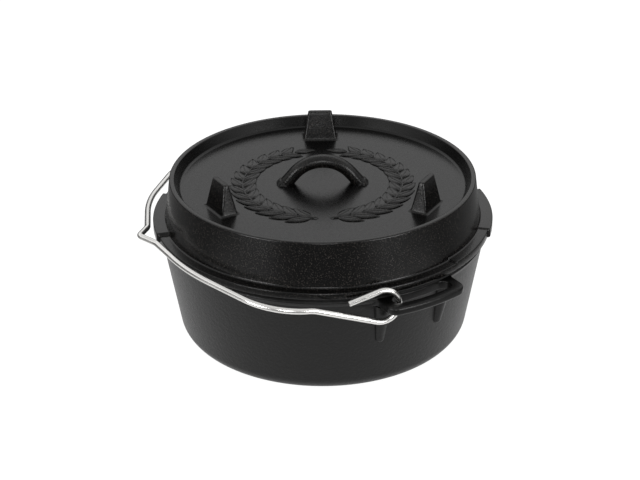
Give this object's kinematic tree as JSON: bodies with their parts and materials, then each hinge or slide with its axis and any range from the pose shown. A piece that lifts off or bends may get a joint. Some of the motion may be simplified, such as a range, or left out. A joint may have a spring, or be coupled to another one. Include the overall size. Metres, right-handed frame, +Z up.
{
  "type": "camp dutch oven",
  "caption": "Round cast iron camp oven with loop lugs, a deep lid with feet, arched handle and coal rim, and a hinged wire bail for hanging or carrying.",
  "frame": {"origin": "middle of the pot's flat base, on the surface that it stands on", "axes": "+Z up along the pot's axis, X along the line that the bail turns about, and the bail lies down towards -Y"},
  "size_m": [0.3116, 0.2985, 0.1525],
  "materials": {
    "pot_iron": "satin, seasoned black with a fine cast grain",
    "lid_iron": "satin, seasoned black, smoother than the pot",
    "bail_wire": "bright drawn wire"
  },
  "bodies": {
    "pot": {"pot": "pot_iron"},
    "lid": {"lid": "lid_iron"},
    "bail": {"bail": "bail_wire"}
  },
  "joints": [
    {"name": "bail_swing", "type": "hinge", "parent": "pot", "child": "bail", "pos_m": [0, 0, 0.0865], "axis": [-1, 0, 0], "range_deg": [0, 166]},
    {"name": "lid_lift", "type": "slide", "parent": "pot", "child": "lid", "axis": [0, 0, 1], "range_m": [0, 0.16]}
  ]
}
